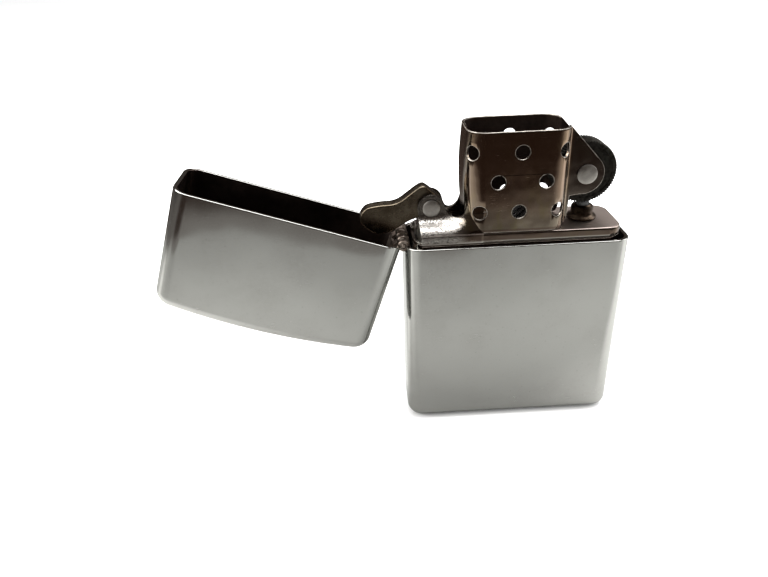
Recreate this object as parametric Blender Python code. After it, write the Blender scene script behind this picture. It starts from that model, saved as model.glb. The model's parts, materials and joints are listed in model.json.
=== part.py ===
"""Flip-top wick lighter, standing on its case with the lid open.

The frame is +Z up, +X away from the hinge and +Y to the back, with the origin at the centre of the case's
flat base. Meshes are drawn in millimetres and scaled to metres when their object is made.
"""

import math

import bmesh
import bpy
from mathutils import Matrix, Vector

MM = 0.001

# Case and lid: one drawn rectangle with round corners, cut in two at the hinge.
CASE_HALF_X = 19.05
CASE_HALF_Y = 6.35
CASE_CORNER = 2.8
CASE_EDGE = 2.0
CASE_HEIGHT = 35.3
WALL = 0.7
LID_RIM = 0.1
LID_HEIGHT = 21.2
LID_EDGE = 2.3
LID_RISE = 1.5
LID_OPEN = math.radians(161.0)

# Hinge: five knuckles on one pin, with a leaf inside the case wall and a leaf inside the lid wall.
HINGE_X = -19.3
HINGE_Z = 35.4
BARREL_R = 1.0
BARREL_HALF = 4.5
KNUCKLE_BORE = 0.52
PIN_R = 0.45
KNUCKLES = 5
KNUCKLE_GAP = 0.1
LEAF_NEAR = 1.02
LEAF_FAR = 1.37
LEAF_LENGTH = 7.2
LEAF_HALF = 3.7
NOTCH_SPARE = 0.15

# Insert: a sheet tank that slides into the case, with a pressed deck on top.
TANK_HALF_X = 17.6
TANK_HALF_Y = 5.3
TANK_CORNER = 2.4
TANK_BOTTOM = 1.5
TANK_TOP = 35.8
SHEET = 0.45
DECK_Z = 37.3
DECK_EDGE = 0.4
SEAM = 0.1

# Chimney: a perforated windscreen whose two ends close in on the wheel.
CHIMNEY_LEFT = -8.9
CHIMNEY_BEND = 7.85
CHIMNEY_HALF_Y = 5.3
CHIMNEY_BASE = DECK_Z + SEAM
CHIMNEY_TOP = 54.2
CHIMNEY_CORNER = 3.1
CHIMNEY_BEND_R = 3.0
CHEEK_START = 8.1
CHEEK_Y = 2.8
CHEEK_CENTRE = (10.65, 45.9)
CHEEK_R = 3.4
VENT_R = 1.15
VENTS = [(-8.1, 50.85), (-0.3, 50.85), (6.8, 50.75), (-3.9, 46.05), (3.85, 45.95), (-6.75, 40.95), (-0.3, 40.95),
         (6.2, 40.95)]

# Cam that snaps the lid, between two ears.
CAM_X = -14.35
CAM_Z = 41.0
CAM_HALF_Y = 1.3
CAM_HEEL = 2.05
CAM_BORE = 0.85
CAM_PIN_R = 0.75
CAM_HEAD_R = 1.46
EAR_Y = 2.0
EAR_SHEET = 0.5
EAR_R = 2.3

# Spark wheel and the flint under it.
WHEEL_X = 11.1
WHEEL_Z = 46.0
WHEEL_R = 5.3
WHEEL_HALF_Y = 2.0
WHEEL_BORE = 1.0
WHEEL_PIN_R = 0.9
WHEEL_HEAD_R = 1.65
RIVET_HEAD = 0.45
TUBE_X = 11.9
TUBE_R = 1.45
TUBE_BORE = 1.2
TUBE_TOP = 39.8
TUBE_BOTTOM = 2.7
COLLAR_R = 1.85
FLANGE_R = 2.45
FLINT_R = 1.1
FLINT_TOP = 40.5
FLINT_LENGTH = 5.0
TIP_LENGTH = 1.4
SPRING_COIL_R = 0.72
SPRING_WIRE_R = 0.14
SPRING_TURNS = 16
SCREW_HEAD_R = 1.9
SCREW_HEAD_Z = 1.6
SCREW_SHANK_R = 1.1
SCREW_SHANK_TOP = 7.5

# Wick, wadding and felt in the tank.
WICK_X = 1.0
WICK_R = 1.5
WICK_BOTTOM = 6.0
WICK_TOP = 46.5
WAD_HALF_Y = 4.5
FELT_BOTTOM = 2.0
FELT_TOP = 4.4

ROUND = 32


def clear_scene():
    for item in list(bpy.data.objects):
        bpy.data.objects.remove(item, do_unlink=True)


def metal(name, colour, roughness, metallic=1.0):
    material = bpy.data.materials.new(name)
    material.use_nodes = True
    shader = material.node_tree.nodes["Principled BSDF"]
    shader.inputs["Base Color"].default_value = (*colour, 1.0)
    shader.inputs["Roughness"].default_value = roughness
    shader.inputs["Metallic"].default_value = metallic
    return material


def place(name, bm, material, at=(0.0, 0.0, 0.0), parent=None):
    """Scale a mesh drawn around the point `at` (millimetres) to metres and link it as one object."""
    bmesh.ops.recalc_face_normals(bm, faces=bm.faces)
    bmesh.ops.scale(bm, vec=(MM, MM, MM), verts=bm.verts)
    mesh = bpy.data.meshes.new(name)
    bm.to_mesh(mesh)
    bm.free()
    mesh.shade_smooth()
    mesh.set_sharp_from_angle(angle=math.radians(35.0))
    if material is not None:
        mesh.materials.append(material)
    item = bpy.data.objects.new(name, mesh)
    bpy.context.scene.collection.objects.link(item)
    item.location = Vector(at) * MM
    item.parent = parent
    return item


def tool(name, bm, at=(0.0, 0.0, 0.0), parent=None):
    """A cutter or a piece to be joined on: never part of the model by itself."""
    item = place(name, bm, None, at, parent)
    item.display_type = "WIRE"
    item.hide_render = True
    return item


def combine(item, operation, other):
    modifier = item.modifiers.new(other.name, "BOOLEAN")
    modifier.operation = operation
    modifier.object = other
    modifier.solver = "EXACT"


def axis_empty(name, at, turn_y=0.0):
    empty = bpy.data.objects.new(name, None)
    bpy.context.scene.collection.objects.link(empty)
    empty.location = Vector(at) * MM
    empty.rotation_euler = (0.0, turn_y, 0.0)
    return empty


def arc(centre, radius, start, end, steps):
    """Points of a circle from the start angle to the end angle, in degrees."""
    return [(centre[0] + radius * math.cos(math.radians(start + (end - start) * k / steps)),
             centre[1] + radius * math.sin(math.radians(start + (end - start) * k / steps)))
            for k in range(steps + 1)]


def round_rect(half_x, half_y, radius, corner_steps=5, side_steps=1):
    """Front edge from left to right, then the back edge from right to left."""
    front = arc((-half_x + radius, -half_y + radius), radius, 180.0, 270.0, corner_steps)
    straight = half_x - radius
    front += [(-straight + 2.0 * straight * k / side_steps, -half_y) for k in range(1, side_steps)]
    front += arc((half_x - radius, -half_y + radius), radius, 270.0, 360.0, corner_steps)
    return front + [(x, -y) for x, y in reversed(front)]


def ladder_cap(bm, ring):
    """Close a ring that is symmetric front to back with one face between each facing pair."""
    half = len(ring) // 2
    for k in range(half - 1):
        bm.faces.new((ring[k], ring[k + 1], ring[-k - 2], ring[-k - 1]))


def loft(rings, closed=False):
    """Join rings of points one after another; closed joins the last to the first, else both ends are capped."""
    bm = bmesh.new()
    loops = [[bm.verts.new(point) for point in ring] for ring in rings]
    pairs = list(zip(loops, loops[1:])) + ([(loops[-1], loops[0])] if closed else [])
    for low, high in pairs:
        for k in range(len(low)):
            n = (k + 1) % len(low)
            bm.faces.new((low[k], low[n], high[n], high[k]))
    if not closed:
        ladder_cap(bm, loops[0])
        ladder_cap(bm, loops[-1])
    return bm


def cup_rings(half_x, half_y, corner, edge, wall, rim, steps, side_steps=1):
    """Rings of a drawn cup from its flat bottom at z = 0, up the outside, over the rim and down the inside."""
    def ring(inset, z):
        outline = round_rect(half_x - inset, half_y - inset, max(corner - inset, 0.3), 5, side_steps)
        return [(x, y, z) for x, y in outline]

    turns = [math.radians(90.0 * k / steps) for k in range(steps + 1)]
    outside = [ring(edge - edge * math.sin(a), edge - edge * math.cos(a)) for a in turns]
    bend = edge - wall
    inside = [ring(edge - bend * math.sin(a), edge - bend * math.cos(a)) for a in reversed(turns)]
    return outside + [ring(0.0, rim), ring(wall, rim)] + inside


def slab(outline, low, high, plane):
    """An outline drawn in the xz, yz or xy plane, given thickness from low to high along the third axis."""
    where = {"xz": lambda a, b, t: (a, t, b), "yz": lambda a, b, t: (t, a, b), "xy": lambda a, b, t: (a, b, t)}[plane]
    bm = bmesh.new()
    face = bm.faces.new([bm.verts.new(where(a, b, low)) for a, b in outline])
    grown = bmesh.ops.extrude_face_region(bm, geom=[face])
    moved = [v for v in grown["geom"] if isinstance(v, bmesh.types.BMVert)]
    bmesh.ops.translate(bm, verts=moved, vec=Vector(where(0.0, 0.0, high - low)))
    return bm


def box(low, high):
    outline = [(low[0], low[1]), (high[0], low[1]), (high[0], high[1]), (low[0], high[1])]
    return slab(outline, low[2], high[2], "xy")


def turned(profile, steps=ROUND):
    """Spin (radius, height) points about the z axis; a profile that starts off the axis closes on itself."""
    bm = bmesh.new()
    points = [bm.verts.new((radius, 0.0, height)) for radius, height in profile]
    edges = [bm.edges.new(pair) for pair in zip(points, points[1:])]
    if profile[0][0] > 0.0:
        edges.append(bm.edges.new((points[-1], points[0])))
    bmesh.ops.spin(bm, geom=points + edges, cent=(0, 0, 0), axis=(0, 0, 1), angle=math.tau, steps=steps,
                   use_merge=True)
    bmesh.ops.remove_doubles(bm, verts=bm.verts, dist=0.0001)
    return bm


def lay_along(bm, direction):
    """Turn a mesh drawn about the z axis so that the axis points along the direction."""
    turn = Vector((0, 0, 1)).rotation_difference(Vector(direction)).to_matrix()
    bmesh.ops.rotate(bm, verts=bm.verts, cent=(0, 0, 0), matrix=turn)
    return bm


def rod(radius, low, high, steps=ROUND):
    return turned([(0.0, low), (radius, low), (radius, high), (0.0, high)], steps)


def join(*parts):
    """Several separate solids in one mesh."""
    whole = bmesh.new()
    for part in parts:
        scratch = bpy.data.meshes.new("scratch")
        part.to_mesh(scratch)
        part.free()
        whole.from_mesh(scratch)
        bpy.data.meshes.remove(scratch)
    return whole


def offset_line(points, distance):
    """The same polyline moved sideways, to its left when the distance is positive."""
    moved = []
    for k, point in enumerate(points):
        before = Vector(points[max(k - 1, 0)])
        after = Vector(points[min(k + 1, len(points) - 1)])
        run_in = (Vector(point) - before) if k else (after - Vector(point))
        run_out = (after - Vector(point)) if k < len(points) - 1 else run_in
        normal_in = Vector((-run_in.y, run_in.x)).normalized()
        normal_out = Vector((-run_out.y, run_out.x)).normalized()
        middle = (normal_in + normal_out).normalized()
        moved.append(tuple(Vector(point) + middle * (distance / middle.dot(normal_in))))
    return moved


def smooth_closed(points, steps=4):
    """A closed Catmull-Rom curve through the points."""
    out = []
    count = len(points)
    for k in range(count):
        a, b, c, d = (Vector(points[(k + j) % count]) for j in (-1, 0, 1, 2))
        for s in range(steps):
            t = s / steps
            spot = 0.5 * (2 * b + (c - a) * t + (2 * a - 5 * b + 4 * c - d) * t ** 2
                          + (3 * b - a - 3 * c + d) * t ** 3)
            out.append(tuple(spot))
    return out


def make_case(steel):
    rings = cup_rings(CASE_HALF_X, CASE_HALF_Y, CASE_CORNER, CASE_EDGE, WALL, CASE_HEIGHT, 4)
    case = place("case_bottom", loft(rings), steel)
    notch = box((HINGE_X - BARREL_R, -BARREL_HALF - NOTCH_SPARE, HINGE_Z - BARREL_R - NOTCH_SPARE),
                (-CASE_HALF_X + WALL + 0.6, BARREL_HALF + NOTCH_SPARE, HINGE_Z + BARREL_R))
    combine(case, "DIFFERENCE", tool("case_notch", notch))


def make_lid(steel, lid_axis):
    """Drawn closed, with the hinge axis at its origin; the axis empty swings it open."""
    rings = cup_rings(CASE_HALF_X, CASE_HALF_Y, CASE_CORNER, LID_EDGE, WALL, LID_HEIGHT - LID_RIM, 4, 10)
    bm = loft(rings)
    for vert in bm.verts:
        across = vert.co.x / CASE_HALF_X
        height = LID_HEIGHT - vert.co.z
        if height > LID_HEIGHT / 2.0:
            height += LID_RISE * (1.0 - across ** 2)
        vert.co = Vector((vert.co.x - HINGE_X, vert.co.y, height))
    lid = place("lid_shell", bm, steel, parent=lid_axis)
    notch = box((-BARREL_R, -BARREL_HALF - NOTCH_SPARE, -BARREL_R),
                (-HINGE_X - CASE_HALF_X + WALL + 0.6, BARREL_HALF + NOTCH_SPARE, BARREL_R + NOTCH_SPARE))
    combine(lid, "DIFFERENCE", tool("lid_notch", notch, parent=lid_axis))


def make_leaf(name, own_knuckles, up, steel, parent):
    """One hinge leaf drawn around the hinge axis: a plate, and a bent neck and a rolled knuckle per share."""
    pitch = 2.0 * BARREL_HALF / KNUCKLES
    plate_near = 1.3 * up
    plate = box((LEAF_NEAR, -LEAF_HALF, min(plate_near, up * LEAF_LENGTH)),
                (LEAF_FAR, LEAF_HALF, max(plate_near, up * LEAF_LENGTH)))
    leaf = place(name, plate, steel, parent=parent)
    neck = [(LEAF_NEAR, 1.6), (LEAF_FAR, 1.6), (LEAF_FAR, 1.05), (0.7, 0.15), (0.35, 0.45), (LEAF_NEAR, 1.25)]
    for index in own_knuckles:
        low = -BARREL_HALF + pitch * index + KNUCKLE_GAP / 2.0
        high = low + pitch - KNUCKLE_GAP
        ring = turned([(KNUCKLE_BORE, low), (BARREL_R, low), (BARREL_R, high), (KNUCKLE_BORE, high)], 24)
        lay_along(ring, (0, 1, 0))
        strap = slab([(x, up * z) for x, z in neck], max(low, -LEAF_HALF), min(high, LEAF_HALF), "xz")
        combine(leaf, "UNION", tool(f"{name}_neck_{index}", strap, parent=parent))
        combine(leaf, "UNION", tool(f"{name}_roll_{index}", ring, parent=parent))


def make_hinge(steel, case_axis, lid_axis):
    make_leaf("hinge_leaf_lower", [0, 2, 4], -1, steel, case_axis)
    make_leaf("hinge_leaf_upper", [1, 3], 1, steel, lid_axis)
    place("hinge_pin", lay_along(rod(PIN_R, -BARREL_HALF, BARREL_HALF, 20), (0, 1, 0)), steel, parent=case_axis)


def tank_ring(inset, z):
    outline = round_rect(TANK_HALF_X - inset, TANK_HALF_Y - inset, TANK_CORNER - inset)
    return [(x, y, z) for x, y in outline]


def make_tank(steel):
    """The tank is a sleeve: the deck closes its top and the felt pad fills its open bottom."""
    rings = [tank_ring(0.0, TANK_BOTTOM), tank_ring(0.0, TANK_TOP), tank_ring(SHEET, TANK_TOP),
             tank_ring(SHEET, TANK_BOTTOM)]
    tank = place("insert_tank", loft(rings, closed=True), steel)
    hole = lay_along(rod(0.6, -1.0, 1.0, 16), (1, 0, 0))
    combine(tank, "DIFFERENCE", tool("tank_rivet_hole", hole, (-TANK_HALF_X, 0.0, 26.0)))


def housing_sheet(side):
    """Sheet that rises from the deck's edge, leans in and stands up as one ear; side is -1 front or 1 back."""
    face = [(-5.3, 36.5), (-5.25, 37.1), (-5.0, 37.6), (-4.4, 38.1), (-3.4, 38.5), (-2.6, 38.8), (-2.15, 39.1),
            (-EAR_Y, 39.45), (-EAR_Y, 43.8)]
    inner = offset_line(face, -EAR_SHEET)
    section = [(y * -side, z) for y, z in face + inner[::-1]]
    return slab(section, -17.2, -6.0, "yz")


def housing_outline():
    """Front view of the housing: a round ear over the pivot, a scoop, then the chimney's foot."""
    ear = arc((CAM_X, CAM_Z), EAR_R, 187.0, 5.0, 14)
    scoop = [(-11.7, 40.6), (-11.2, 39.8), (-10.5, 39.25), (-9.7, 39.3), (-9.0, 39.9), (-8.6, 40.6)]
    return [(-16.1, 36.0)] + ear + scoop + [(-5.5, 40.6), (-5.5, 36.0)]


def chimney_path():
    """Outer face of the windscreen in plan, from the front cheek round the closed end to the back cheek."""
    corner = arc((CHIMNEY_LEFT + CHIMNEY_CORNER, -CHIMNEY_HALF_Y + CHIMNEY_CORNER), CHIMNEY_CORNER, 180.0, 270.0, 6)
    bend = arc((CHIMNEY_BEND - CHIMNEY_BEND_R, -CHIMNEY_HALF_Y + CHIMNEY_BEND_R), CHIMNEY_BEND_R, 270.0, 345.0, 6)
    front = corner + bend + [(CHEEK_START, -CHEEK_Y), (15.5, -CHEEK_Y)]
    return front[::-1] + [(x, -y) for x, y in front]


def make_deck(steel):
    top = [tank_ring(DECK_EDGE - DECK_EDGE * math.sin(a), DECK_Z - DECK_EDGE + DECK_EDGE * math.cos(a))
           for a in (math.radians(30.0 * k) for k in range(4))]
    under = [tank_ring(SHEET, TANK_TOP + SEAM), tank_ring(SHEET, DECK_Z - SHEET - 0.3),
             tank_ring(SHEET + 0.3, DECK_Z - SHEET)]
    deck = place("insert_deck", loft(top + [tank_ring(0.0, TANK_TOP + SEAM)] + under), steel)
    under_chimney = box((-8.4, -4.3, 35.0), (5.6, 4.3, 38.0))
    under_housing = box((-16.3, -4.6, 35.0), (-10.0, 4.6, 38.0))
    open_end = box((-18.5, -6.0, 36.2), (-16.2, 6.0, 38.0))
    cam_slot = box((-18.5, -1.5, 35.0), (-16.2, 1.5, 38.0))
    tube_hole = rod(TUBE_R + 0.1, 35.0, 38.0, 24)
    bmesh.ops.translate(tube_hole, verts=tube_hole.verts, vec=(TUBE_X, 0.0, 0.0))
    for name, cutter in (("under_chimney", under_chimney), ("under_housing", under_housing),
                         ("open_end", open_end), ("cam_slot", cam_slot), ("tube_hole", tube_hole)):
        combine(deck, "DIFFERENCE", tool(f"deck_{name}", cutter))
    outline = tool("housing_outline", slab(housing_outline(), -7.0, 7.0, "xz"))
    for side, name in ((-1, "housing_front"), (1, "housing_back")):
        sheet = tool(name, housing_sheet(side))
        combine(sheet, "INTERSECT", outline)
        combine(deck, "UNION", sheet)
    clear_of_chimney = offset_line(chimney_path(), SEAM)
    foot = slab(clear_of_chimney, CHIMNEY_BASE - SEAM / 2.0, CHIMNEY_TOP, "xy")
    combine(deck, "DIFFERENCE", tool("chimney_foot", foot))
    pin_hole = lay_along(rod(CAM_BORE, -4.0, 4.0, 24), (0, 1, 0))
    combine(deck, "DIFFERENCE", tool("ear_hole", pin_hole, (CAM_X, 0.0, CAM_Z)))


def wall_direction(x):
    """Outward direction of the front wall in plan at a vent's x."""
    left_centre = CHIMNEY_LEFT + CHIMNEY_CORNER
    right_centre = CHIMNEY_BEND - CHIMNEY_BEND_R
    if x < left_centre:
        lean = (x - left_centre) / CHIMNEY_CORNER
    elif x > right_centre:
        lean = (x - right_centre) / CHIMNEY_BEND_R
    else:
        lean = 0.0
    return Vector((lean, -math.sqrt(1.0 - lean ** 2), 0.0)), lean


def vent_cutters():
    """One short rod square to the wall for each vent, in the front wall and the back wall."""
    cutters = []
    for x, z in VENTS:
        direction, lean = wall_direction(x)
        radius = CHIMNEY_CORNER if x < 0.0 else CHIMNEY_BEND_R
        y = -CHIMNEY_HALF_Y + radius * (1.0 - math.sqrt(1.0 - lean ** 2))
        for side in (1.0, -1.0):
            aim = Vector((direction.x, direction.y * side, 0.0))
            cutter = lay_along(rod(VENT_R, -1.2, 1.2, 20), aim)
            bmesh.ops.translate(cutter, verts=cutter.verts, vec=(x, y * side, z))
            cutters.append(cutter)
    return cutters


def chimney_outline():
    """Front view of the windscreen: a tall box, then a cheek that tapers to a round nose over the rivet."""
    nose = arc(CHEEK_CENTRE, CHEEK_R, 43.5, -95.0, 12)
    return [(-11.0, CHIMNEY_BASE), (-11.0, CHIMNEY_TOP), (7.7, CHIMNEY_TOP)] + nose + [
        (7.2, 42.2), (6.7, 40.0), (6.3, CHIMNEY_BASE)]


def make_chimney(steel):
    outer = chimney_path()
    plan = outer + offset_line(outer, -SHEET)[::-1]
    chimney = place("chimney", slab(plan, CHIMNEY_BASE - 1.0, CHIMNEY_TOP + 1.0, "xy"), steel)
    combine(chimney, "INTERSECT", tool("chimney_outline", slab(chimney_outline(), -7.0, 7.0, "xz")))
    combine(chimney, "DIFFERENCE", tool("vents", join(*vent_cutters())))
    pin_hole = lay_along(rod(WHEEL_BORE, -4.0, 4.0, 24), (0, 1, 0))
    combine(chimney, "DIFFERENCE", tool("cheek_hole", pin_hole, (WHEEL_X, 0.0, WHEEL_Z)))


def cam_outline():
    """Nose to the left, a hump over the pivot and a round heel under it, measured from the pivot."""
    top = [(-12.0, -1.3), (-11.25, -0.15), (-10.2, 0.3), (-8.4, 0.55), (-6.5, 0.65), (-5.2, 1.1), (-3.6, 2.25),
           (-2.3, 3.2), (-1.35, 3.6), (-0.6, 3.3), (0.5, 2.35), (1.5, 1.4)]
    heel = arc((0.0, 0.0), CAM_HEEL, 20.0, -120.0, 6)
    belly = [(-3.0, -2.2), (-4.5, -2.9), (-6.3, -4.0), (-7.8, -4.5), (-9.3, -4.5), (-10.7, -3.7), (-11.8, -2.5)]
    return smooth_closed(top + heel + belly, 3)


def make_cam(steel, cam_axis):
    cam = place("cam", slab(cam_outline(), -CAM_HALF_Y, CAM_HALF_Y, "xz"), steel, parent=cam_axis)
    bore = lay_along(rod(CAM_BORE, -2.0, 2.0, 24), (0, 1, 0))
    combine(cam, "DIFFERENCE", tool("cam_bore", bore, parent=cam_axis))


def rivet(shaft_r, head_r, under_head):
    """A solid rivet along y with the same low round head on both ends."""
    face = under_head + RIVET_HEAD
    half = [(0.0, face), (head_r - 0.3, face - 0.05), (head_r, face - 0.25), (head_r, under_head),
            (shaft_r, under_head)]
    profile = [(radius, -height) for radius, height in half] + half[::-1]
    return lay_along(turned(profile, 28), (0, 1, 0))


def make_cam_spring(steel):
    """A leaf riveted inside the tank's hinge end, with its free end under the cam's heel."""
    line = [(-16.95, 24.0), (-16.95, 36.6), (-16.8, 37.6), (-16.3, 38.4), (-15.5, 38.62), (-13.6, 38.62)]
    strip = line + offset_line(line, -0.25)[::-1]
    leaf = place("cam_spring", slab(strip, -1.15, 1.15, "xz"), steel)
    hole = lay_along(rod(0.6, -1.0, 1.0, 16), (1, 0, 0))
    combine(leaf, "DIFFERENCE", tool("leaf_hole", hole, (-16.8, 0.0, 26.0)))
    profile = [(0.0, -0.22), (0.85, -0.2), (0.95, -0.05), (0.5, -0.05), (0.5, 0.98), (0.95, 0.98), (0.85, 1.2),
               (0.0, 1.25)]
    place("cam_spring_rivet", lay_along(turned(profile, 20), (1, 0, 0)), steel, (-TANK_HALF_X, 0.0, 26.0))


def make_wheel(dark, wheel_axis):
    edge = 0.3
    profile = [(WHEEL_BORE, -WHEEL_HALF_Y), (WHEEL_R - edge, -WHEEL_HALF_Y), (WHEEL_R, -WHEEL_HALF_Y + edge),
               (WHEEL_R, WHEEL_HALF_Y - edge), (WHEEL_R - edge, WHEEL_HALF_Y), (WHEEL_BORE, WHEEL_HALF_Y)]
    place("flint_wheel", lay_along(turned(profile, 48), (0, 1, 0)), dark, parent=wheel_axis)


def make_flint_train(steel, brass, flint_grey):
    tube = [(TUBE_BORE, TUBE_BOTTOM), (TUBE_R, TUBE_BOTTOM), (TUBE_R, CHIMNEY_BASE), (FLANGE_R, CHIMNEY_BASE),
            (FLANGE_R, CHIMNEY_BASE + 0.4), (COLLAR_R, CHIMNEY_BASE + 0.8), (COLLAR_R, TUBE_TOP - 0.9),
            (TUBE_R - 0.1, TUBE_TOP), (TUBE_BORE, TUBE_TOP)]
    place("flint_tube", turned(tube, 24), brass, (TUBE_X, 0.0, 0.0))
    flint_base = FLINT_TOP - FLINT_LENGTH
    flint = [(0.0, flint_base), (FLINT_R, flint_base), (FLINT_R, FLINT_TOP - 0.2), (FLINT_R - 0.2, FLINT_TOP),
             (0.0, FLINT_TOP)]
    flint_axis = axis_empty("flint_axis", (TUBE_X, 0.0, 0.0))
    place("flint", turned(flint, 20), flint_grey, parent=flint_axis)
    tip_top = flint_base - SEAM
    tip_base = tip_top - TIP_LENGTH
    tip = [(0.0, tip_base), (0.8, tip_base), (1.0, tip_base + 0.5), (1.0, tip_top), (0.0, tip_top)]
    place("spring_tip", turned(tip, 20), brass, parent=flint_axis)
    place("flint_spring", coil(SCREW_SHANK_TOP + SEAM, tip_base - SEAM), steel, (TUBE_X, 0.0, 0.0))
    make_screw(brass)


def coil(low, high):
    """A round wire wound in an even helix between two heights, both ends capped."""
    bm = bmesh.new()
    around = 10
    wire_low = low + SPRING_WIRE_R
    climb = high - low - 2.0 * SPRING_WIRE_R
    rings = []
    for k in range(SPRING_TURNS * around + 1):
        angle = math.tau * k / around
        outward = Vector((math.cos(angle), math.sin(angle), 0.0))
        centre = outward * SPRING_COIL_R + Vector((0, 0, wire_low + climb * k / (SPRING_TURNS * around)))
        rings.append([bm.verts.new(centre + SPRING_WIRE_R * (outward * math.cos(b) + Vector((0, 0, math.sin(b)))))
                      for b in (math.tau * j / 5 for j in range(5))])
    for low_ring, high_ring in zip(rings, rings[1:]):
        for j in range(5):
            n = (j + 1) % 5
            bm.faces.new((low_ring[j], low_ring[n], high_ring[n], high_ring[j]))
    bm.faces.new(rings[0])
    bm.faces.new(rings[-1])
    return bm


def make_screw(brass):
    """Slotted screw that closes the flint tube from below and carries the spring."""
    head_top = TUBE_BOTTOM - SEAM
    profile = [(0.0, SCREW_HEAD_Z), (SCREW_HEAD_R - 0.25, SCREW_HEAD_Z), (SCREW_HEAD_R, SCREW_HEAD_Z + 0.25),
               (SCREW_HEAD_R, head_top), (SCREW_SHANK_R, head_top), (SCREW_SHANK_R, SCREW_SHANK_TOP),
               (0.0, SCREW_SHANK_TOP)]
    screw_axis = axis_empty("screw_axis", (TUBE_X, 0.0, 0.0))
    screw = place("flint_screw", turned(profile, 28), brass, parent=screw_axis)
    slot = box((-3.0, -0.25, SCREW_HEAD_Z - 1.0), (3.0, 0.25, SCREW_HEAD_Z + 0.5))
    combine(screw, "DIFFERENCE", tool("screw_slot", slot, parent=screw_axis))


def wad(name, low_x, high_x, low_z, high_z, cotton):
    """One ball of wadding pressed to a rounded block."""
    half_x = (high_x - low_x) / 2.0
    half_z = (high_z - low_z) / 2.0
    soft = 1.2
    rings = []
    for inset, y in ((soft, -WAD_HALF_Y), (soft * 0.3, -WAD_HALF_Y + soft * 0.3), (0.0, -WAD_HALF_Y + soft),
                     (0.0, WAD_HALF_Y - soft), (soft * 0.3, WAD_HALF_Y - soft * 0.3), (soft, WAD_HALF_Y)):
        outline = round_rect(half_x - inset, half_z - inset, 2.0 - inset, 4)
        rings.append([(x, y, z) for x, z in outline])
    place(name, loft(rings), cotton, ((low_x + high_x) / 2.0, 0.0, (low_z + high_z) / 2.0))


def make_filling(cotton, felt):
    left, right = -16.6, TUBE_X - TUBE_R - 0.3
    wick_left, wick_right = WICK_X - WICK_R - 0.3, WICK_X + WICK_R + 0.3
    wad("packing_1", left, wick_left, 5.0, 20.0, cotton)
    wad("packing_2", wick_right, right, 5.0, 20.0, cotton)
    wad("packing_3", -13.0, wick_left, 20.3, 35.6, cotton)
    wad("packing_4", wick_right, right, 20.3, 35.6, cotton)
    wick = [(0.0, WICK_BOTTOM), (WICK_R, WICK_BOTTOM), (WICK_R, WICK_TOP - 0.8), (WICK_R - 0.4, WICK_TOP),
            (0.0, WICK_TOP)]
    place("wick", turned(wick, 20), cotton, (WICK_X, 0.0, 0.0))
    pad_rings = []
    for inset, z in ((0.3, FELT_BOTTOM), (0.0, FELT_BOTTOM + 0.3), (0.0, FELT_TOP - 0.3), (0.3, FELT_TOP)):
        pad_rings.append([(x, y, z) for x, y in round_rect(16.9 - inset, 4.6 - inset, 1.8 - inset)])
    pad = place("felt_pad", loft(pad_rings), felt)
    combine(pad, "DIFFERENCE", tool("felt_hole", rod(SCREW_HEAD_R + 0.4, 0.0, 8.0, 24), (TUBE_X, 0.0, 0.0)))


def main():
    clear_scene()
    shell_steel = metal("plated_shell", (0.62, 0.62, 0.60), 0.16)
    hinge_steel = metal("hinge_steel", (0.30, 0.26, 0.22), 0.45)
    insert_steel = metal("insert_steel", (0.34, 0.28, 0.25), 0.2)
    cam_steel = metal("cam_steel", (0.24, 0.22, 0.19), 0.4)
    rivet_steel = metal("rivet_steel", (0.55, 0.53, 0.50), 0.35)
    wheel_steel = metal("wheel_steel", (0.03, 0.03, 0.03), 0.55)
    brass = metal("brass", (0.45, 0.35, 0.2), 0.35)
    flint_grey = metal("flint_grey", (0.12, 0.12, 0.12), 0.7, 0.4)
    cotton = metal("cotton", (0.75, 0.72, 0.65), 0.9, 0.0)
    felt = metal("felt", (0.85, 0.83, 0.78), 0.95, 0.0)

    case_axis = axis_empty("case_hinge_axis", (HINGE_X, 0.0, HINGE_Z))
    lid_axis = axis_empty("lid_axis", (HINGE_X, 0.0, HINGE_Z), -LID_OPEN)
    cam_axis = axis_empty("cam_axis", (CAM_X, 0.0, CAM_Z))
    wheel_axis = axis_empty("wheel_axis", (WHEEL_X, 0.0, WHEEL_Z))

    make_case(shell_steel)
    make_lid(shell_steel, lid_axis)
    make_hinge(hinge_steel, case_axis, lid_axis)
    make_tank(insert_steel)
    make_deck(insert_steel)
    make_chimney(insert_steel)
    make_cam(cam_steel, cam_axis)
    place("cam_rivet", rivet(CAM_PIN_R, CAM_HEAD_R, EAR_Y + 0.08), rivet_steel, (CAM_X, 0.0, CAM_Z))
    make_cam_spring(rivet_steel)
    make_wheel(wheel_steel, wheel_axis)
    place("wheel_rivet", rivet(WHEEL_PIN_R, WHEEL_HEAD_R, CHEEK_Y + 0.08), rivet_steel, (WHEEL_X, 0.0, WHEEL_Z))
    make_flint_train(rivet_steel, brass, flint_grey)
    make_filling(cotton, felt)


main()
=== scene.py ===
"""Looks of the flip-top lighter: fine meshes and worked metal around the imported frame.

Meshes are drawn in millimetres, in the frame's own axes, and scaled to metres when their piece is finished.
"""

import json
import math

import bmesh
import bpy
from mathutils import Matrix, Vector
from mathutils.noise import fractal


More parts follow.
